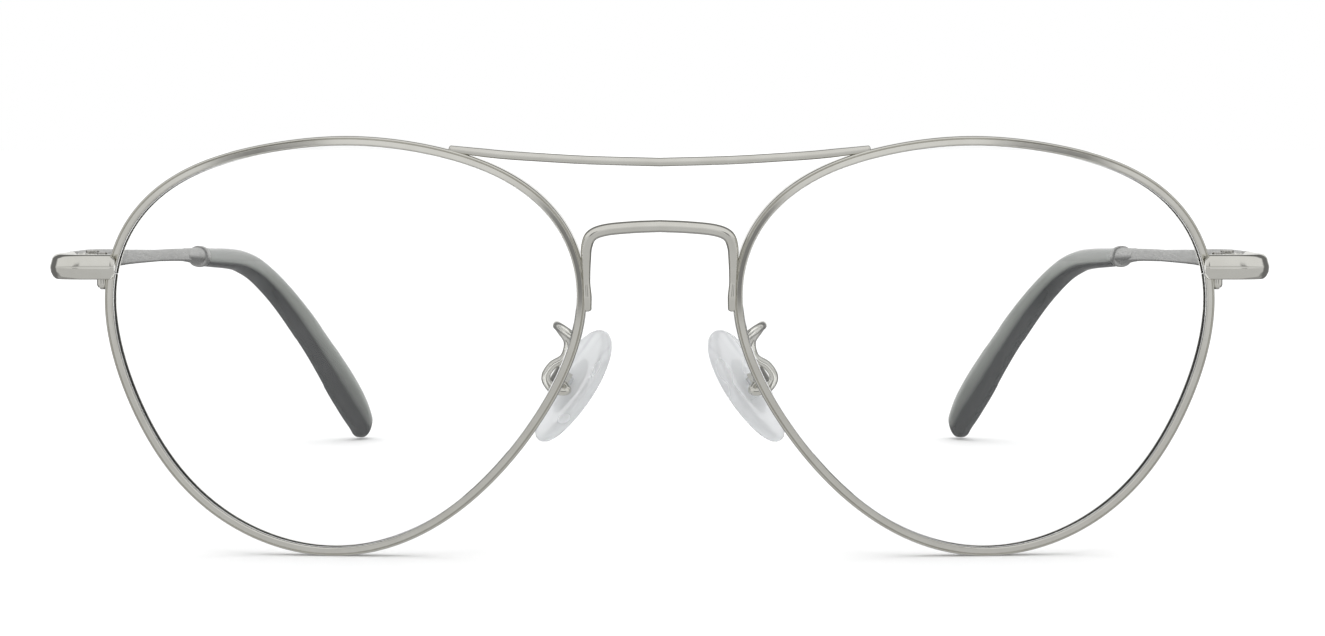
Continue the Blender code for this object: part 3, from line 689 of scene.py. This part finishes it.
def knuckle(low, high, sign):
    """A hinge knuckle bored for its screw, and the arm that carries it."""
    barrel = turned(((0.55, low), (1.14, low), (1.14, high), (0.55, high)), tube=True, ease=0.08)
    reach = sorted((sign * 0.9, sign * 1.5))
    arm = block((0.5, reach[0], low), (1.65, reach[1], high), 0.05)
    web = block((0.75, min(0, sign * 1.2), low + 0.02), (1.6, max(0, sign * 1.2), high - 0.02), 0.05)
    return merged(barrel, arm, web)


def make_hinges():
    """Front and temple leaves with interleaved knuckles, and the slotted screw through them."""
    front_leaf = block((1.1, -5.2, -1.35), (1.7, -1.3, 1.25), 0.1)
    front_shape = merged(front_leaf, knuckle(-1.35, -0.48, -1), knuckle(0.48, 1.25, -1))
    make_pair("hinge_front", front_shape, HINGE_FRAME, "polished_metal", "front", "front_hinge")
    temple_leaf = block((1.1, 1.3, -1.35), (1.7, 5.2, 1.25), 0.1)
    temple_shape = merged(temple_leaf, knuckle(-0.42, 0.42, 1))
    make_pair("hinge_temple", temple_shape, HINGE_FRAME, "polished_metal", "temple_", "temple_hinge")
    shank = turned(((0, -1.35), (0.5, -1.35), (0.5, 1.32), (0, 1.32)), ease=0.05)
    head = slotted_head(0.82, 1.3, 1.6, 0.11)
    make_pair("hinge_pin", merged(shank, head), HINGE_FRAME, "screw_steel", "front", "hinge_screw")


def temple_line():
    """The temple's centre line, from the hinge to the end of its tip."""
    x = BAR_MIDDLE
    bar = [(x, 0, 0), (x, 12, 0), (x, 24, -0.25), (x, 40, -0.75), (x, 55, -1.3), (x, 68, -2.2)]
    bend = [(x, 80, -2.9), (2.35, 88, -3.7), (1.6, 96, -5.6), (-0.2, 104, -9.7)]
    tip = [(-2.65, 111.5, -15.6), (-5.1, 119, -22.4), (-7.4, 126.3, -29.5), (-8.0, 129.6, -32.9)]
    return evenly(through(bar + bend + tip, 8), 0.4)


def stretch_of(path, low, high):
    """The part of a path between two distances along it, with the distances."""
    along = lengths_along(path)
    wanted = np.arange(low, high + 0.2, 0.4)
    wanted[-1] = high
    part = np.stack([np.interp(wanted, along, path[:, axis]) for axis in range(3)], axis=1)
    return part, wanted


def make_temples():
    """The flat-sided bar, which swells to its ferrule."""
    path, along = stretch_of(temple_line(), 0.1, BAR_END)
    heights = between(BAR_HALF_HEIGHTS, along)
    widths = np.full_like(heights, BAR_HALF_SIDE)
    oblong = eased([(-1, -1), (1, -1), (1, 1), (-1, 1)], 0.36, 6)
    scale = np.stack([widths, heights], axis=1)
    rings = swept(path, level_frames(path), oblong, scale)
    first = rings[0].mean(axis=0) + (rings[0] - rings[0].mean(axis=0)) * 0.94
    rings = np.concatenate([[first], rings[1:]])
    make_pair("temple_bar", skin(rings), HINGE_FRAME, "satin_metal", "temple_", "temple", 50)


def make_ferrules():
    """The collar that flares from the bar to a rounded bead before the tip."""
    flare = ((54.9, 0.69, 0.9), (56.5, 0.78, 0.94), (58.0, 0.85, 0.98), (59.6, 0.96, 1.06), (61.0, 1.1, 1.15))
    bead = ((62.0, 1.18, 1.2), (62.35, 1.36, 1.38), (62.8, 1.43, 1.46), (63.4, 1.45, 1.48))
    end = ((64.0, 1.42, 1.44), (64.35, 1.32, 1.34), (64.4, 1.2, 1.22))
    knots = flare + bead + end
    path, along = stretch_of(temple_line(), knots[0][0], knots[-1][0])
    fine = np.interp(np.linspace(0, 1, 90), np.linspace(0, 1, len(along)), along)
    path = np.stack([np.interp(fine, along, path[:, axis]) for axis in range(3)], axis=1)
    sides = between([(d, s) for d, s, _ in knots], fine)
    heights = between([(d, h) for d, _, h in knots], fine)
    scale = np.stack([sides, heights], axis=1)
    rings = swept(path, level_frames(path), rounded_oblong(1, 1, 2.2, 40), scale)
    make_pair("tip_collar", skin(rings), HINGE_FRAME, "satin_metal", "temple_", "tip_ferrule", 60)


def make_tips():
    """The moulded paddle behind the ear, flat-sided with a full round end."""
    line = temple_line()
    total = lengths_along(line)[-1]
    path, along = stretch_of(line, TIP_START, total - 2.4)
    sides = between(TIP_HALF_SIDES, along)
    heights = smoothed(between(TIP_HALF_HEIGHTS, along))
    frames = level_frames(path)
    rings = swept(path, frames, rounded_oblong(1, 1, 2.5, 48), np.stack([sides, heights], axis=1))
    start = rings[0].mean(axis=0) + (rings[0] - rings[0].mean(axis=0)) * 0.93
    dome = domed(rings, frames[0][0], frames[0][-1], 2.1, 14)[14:]
    rings = np.concatenate([[start], dome[1:]])
    make_pair("ear_tip", skin(rings), HINGE_FRAME, "dark_tip", "temple_", "temple_tip", 60)


def pad_outline(count=72):
    """The pad's outline, a little wider at its top."""
    angles = math.tau * np.arange(count) / count
    width = PAD_HALF_WIDTH * np.cos(angles) * (1 + 0.12 * np.sin(angles))
    return np.stack([width, PAD_HALF_LENGTH * np.sin(angles)], axis=1)


def pad_layers(layers, centre=-0.3):
    rings = []
    for share, depth in layers:
        ring = pad_outline() * share
        rings.append(np.column_stack([ring[:, 0], ring[:, 1] + centre, np.full(len(ring), depth)]))
    return rings


def make_nose_pads():
    """Soft clear pads, dished behind and domed towards the nose, each round a hard plate with a stem."""
    back = [(0.3, -1.42), (0.6, -1.36), (0.82, -1.27), (0.9, -1.3)]
    edge = [(0.96, -1.45), (0.99, -1.68), (1.0, -1.95), (0.995, -2.25), (0.975, -2.55)]
    face = [(0.93, -2.82), (0.85, -3.05), (0.72, -3.2), (0.55, -3.3), (0.3, -3.35)]
    shape = skin(pad_layers(back + edge + face))
    make_pair("nose_pad_soft", shape, PAD, "silicone", "pad_", "nose_pad", 60)
    plate = skin(pad_layers([(0.40, -2.12), (0.46, -2.14), (0.48, -2.3), (0.46, -2.46), (0.40, -2.5)], -0.4))
    stem = block((-0.45, -0.6, -2.3), (0.45, 0.6, -0.45), 0.15)
    eye = turned(((0.37, -0.44), (0.62, -0.44), (0.62, 0.44), (0.37, 0.44)), axis="X", tube=True, ease=0.08)
    make_pair("pad_plate", merged(plate, stem, eye), PAD, "pad_insert", "pad_", "pad_insert")


def make_pad_arms():
    """A wire from the rim's back, round a hairpin and a loop, to the pad's box."""
    rise = [(10.1, 2.4, 25.6), (11.2, 2.8, 26.4), (11.95, 3.7, 26.8)]
    hairpin = [(12.0, 5.0, 26.75), (11.6, 6.1, 26.1), (10.85, 6.9, 24.7), (11.3, 7.2, 22.9)]
    loop = [(12.75, 7.4, 21.9), (13.5, 7.5, 20.55), (12.9, 7.6, 19.3), (11.7, 7.7, 18.75)]
    end = [(10.9, 7.95, 18.85), (11.2, 8.45, 19.3)]
    shape = wire(through(rise + hairpin + loop + end, 8), PAD_WIRE_RADIUS)
    make_pair("pad_wire", shape, ROOT, "polished_metal", "front", "pad_arm", 60)
    walls = [block((x - 0.13, -1.0, -0.7), (x + 0.13, 1.0, 0.82), 0.06) for x in (-0.86, 0.86)]
    base = block((-0.98, -0.98, 0.56), (0.98, 0.98, 0.84), 0.06)
    make_pair("pad_clasp", merged(*walls, base), PAD, "polished_metal", "front", "pad_box")
    shank = turned(((0, -1.0), (0.33, -1.0), (0.33, 1.05), (0, 1.05)), axis="X", ease=0.05)
    head = slotted_head(0.58, 1.03, 1.33, 0.08, axis="X")
    make_pair("pad_pin", merged(shank, head), PAD, "screw_steel", "front", "pad_screw")


make_rims()
make_lenses()
make_brow_bar()
make_bridge()
make_rim_locks()
make_end_pieces()
make_hinges()
make_temples()
make_ferrules()
make_tips()
make_nose_pads()
make_pad_arms()


# --- Floor, light and camera ---


def make_floor():
    """A pale floor. Mirrored in the metal it is dimmer than the camera sees it, as a tent's floor is."""
    material, tree, shader = new_material("pale_floor")
    grain = stretched_noise(tree, (1, 1, 1), 8.0, 4.0)
    colour = coloured(tree, grain, (0.3, (0.93, 0.93, 0.93)), (0.7, (0.95, 0.95, 0.95)))
    connect(tree, shader, Base_Color=colour, Roughness=0.95, Specular_IOR_Level=0.0)
    mesh = bpy.data.meshes.new("floor")
    bm = bmesh.new()
    bmesh.ops.create_grid(bm, x_segments=1, y_segments=1, size=FLOOR_HALF_SIZE)
    bm.to_mesh(mesh)
    bm.free()
    mesh.materials.append(material)
    floor = bpy.data.objects.new("floor", mesh)
    floor.visible_glossy = False
    bpy.context.scene.collection.objects.link(floor)


# What polished surfaces mirror, as (brightness, (axis, none of it at, all of it at), ...), in order,
# each over the last and all over the base. The last two are dark columns at either side of the camera.
STUDIO_BASE = 0.78
STUDIO = (
    (0.95, ("z", 0.08, 0.3)),
    (0.68, ("z", -0.1, -0.3)),
    (0.2, ("y", 0.0, 0.25)),
    (0.4, ("y", 0.0, 0.25), ("z", -0.45, -0.6)),
    (1.0, ("y", 0.7, 0.84), ("z", -0.2, 0.0)),
    *(
        (
            0.28,
            ("y", -0.78, -0.86),
            ("x", sign * 0.24, sign * 0.3),
            ("x", sign * 0.56, sign * 0.5),
            ("z", -0.16, -0.07),
            ("z", 0.34, 0.26),
        )
        for _, sign in SIDES
    ),
)


def blended(tree, first, second, share):
    mixed = node(tree, "ShaderNodeMix")
    for key, value in ((0, share), (2, first), (3, second)):
        if isinstance(value, bpy.types.NodeSocket):
            tree.links.new(value, mixed.inputs[key])
        else:
            mixed.inputs[key].default_value = value
    return mixed.outputs[0]


def smooth_step(tree, value, low, high):
    step = node(tree, "ShaderNodeMapRange", {"interpolation_type": "SMOOTHSTEP"}, Value=value)
    step.inputs["From Min"].default_value = low
    step.inputs["From Max"].default_value = high
    return step.outputs["Result"]


def multiplied(tree, first, second):
    made = node(tree, "ShaderNodeMath", {"operation": "MULTIPLY"})
    tree.links.new(first, made.inputs[0])
    tree.links.new(second, made.inputs[1])
    return made.outputs[0]


def make_world():
    """A white studio, which polished surfaces mirror as soft boxes, dark gaps and a bright backdrop."""
    world = bpy.data.worlds.new("studio")
    world.use_nodes = True
    tree = world.node_tree
    direction = node(tree, "ShaderNodeTexCoord").outputs["Generated"]
    axes = dict(zip("xyz", node(tree, "ShaderNodeSeparateXYZ", Vector=direction).outputs))
    light = STUDIO_BASE
    for brightness, *bounds in STUDIO:
        share = None
        for axis, low, high in bounds:
            step = smooth_step(tree, axes[axis], low, high)
            share = step if share is None else multiplied(tree, share, step)
        light = blended(tree, light, brightness, share)
    mirrored = node(tree, "ShaderNodeLightPath").outputs["Is Glossy Ray"]
    background = tree.nodes["Background"]
    background.inputs["Color"].default_value = (1, 1, 1, 1)
    tree.links.new(blended(tree, 1.0, light, mirrored), background.inputs["Strength"])
    bpy.context.scene.world = world


def make_light():
    """A broad overhead light that whitens the floor and leaves soft shadows where things touch it."""
    sun = bpy.data.lights.new("overhead", "SUN")
    sun.energy = 0.9
    sun.angle = math.radians(70)
    lamp = bpy.data.objects.new("overhead", sun)
    lamp.rotation_euler = (math.radians(8), 0, 0)
    lamp.visible_glossy = False
    bpy.context.scene.collection.objects.link(lamp)


def make_camera():
    camera = bpy.data.cameras.new("camera")
    camera.lens = CAMERA_LENS
    camera.sensor_width = CAMERA_SENSOR
    camera.clip_start = 0.01
    holder = bpy.data.objects.new("camera", camera)
    holder.location = ROOT @ (Vector(CAMERA_AT) * MM)
    holder.rotation_euler = (math.radians(90) - CAMERA_PITCH, 0, 0)
    bpy.context.scene.collection.objects.link(holder)
    bpy.context.scene.camera = holder
    bpy.context.scene.view_settings.view_transform = "Standard"


make_floor()
make_world()
make_light()
make_camera()
